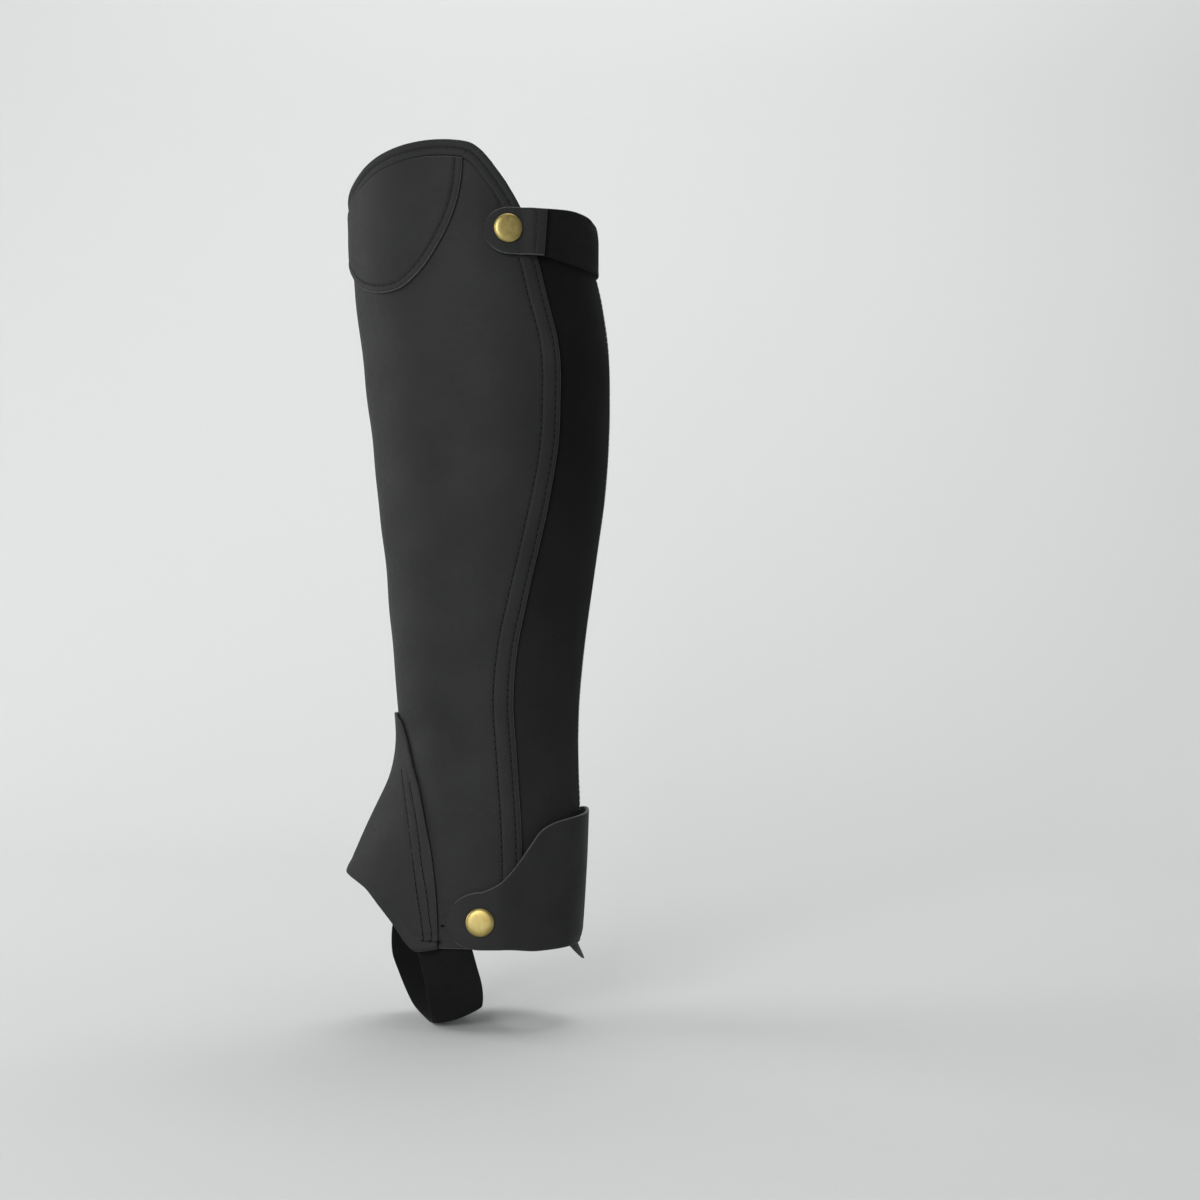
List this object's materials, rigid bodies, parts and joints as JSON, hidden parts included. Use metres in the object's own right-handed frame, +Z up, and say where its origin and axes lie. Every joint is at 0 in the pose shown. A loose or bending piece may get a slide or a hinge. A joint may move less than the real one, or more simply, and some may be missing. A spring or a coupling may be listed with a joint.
{
  "type": "half chap",
  "caption": "Left half chap for riding: leather legging round calf and ankle, stretch back with zip, snapped top strap and ankle cover, elastic stirrup under the boot.",
  "frame": {"origin": "inside the leg hollow at the widest part of the calf, where the wearer's leg holds the chap", "axes": "+Z up along the leg, -X to the front (the shin), -Y to the outer side of the left leg"},
  "size_m": [0.1424, 0.1174, 0.4637],
  "materials": {
    "leather": "black smooth leather with a fine grain, satin",
    "stretch": "black knitted stretch fabric, matt",
    "elastic": "black woven elastic, matt",
    "zip_tape": "black woven tape",
    "zip_metal": "blackened metal",
    "brass": "brushed antique brass"
  },
  "bodies": {
    "chap": {"main_panel": "leather", "knee_patch": "leather", "top_binding": "leather", "stretch_panel_outer": "stretch", "stretch_panel_inner": "stretch", "zip_tape_outer": "zip_tape", "zip_tape_inner": "zip_tape", "zip_chain": "zip_metal", "zip_slider": "zip_metal", "top_strap": "elastic", "snap_tab": "leather", "ankle_cover": "leather", "instep_gusset": "leather", "stirrup_strap": "elastic", "knee_snap_cap": "brass", "knee_snap_stud": "brass", "knee_snap_washer": "brass", "ankle_snap_cap": "brass", "ankle_snap_stud": "brass", "ankle_snap_washer": "brass"},
    "pull": {"zip_pull": "zip_metal"}
  },
  "joints": [
    {"name": "pull_hinge", "type": "hinge", "parent": "chap", "child": "pull", "pos_m": [0.05867, 0, 0.0806], "axis": [0, 1, 0], "range_deg": [0, 12]}
  ]
}
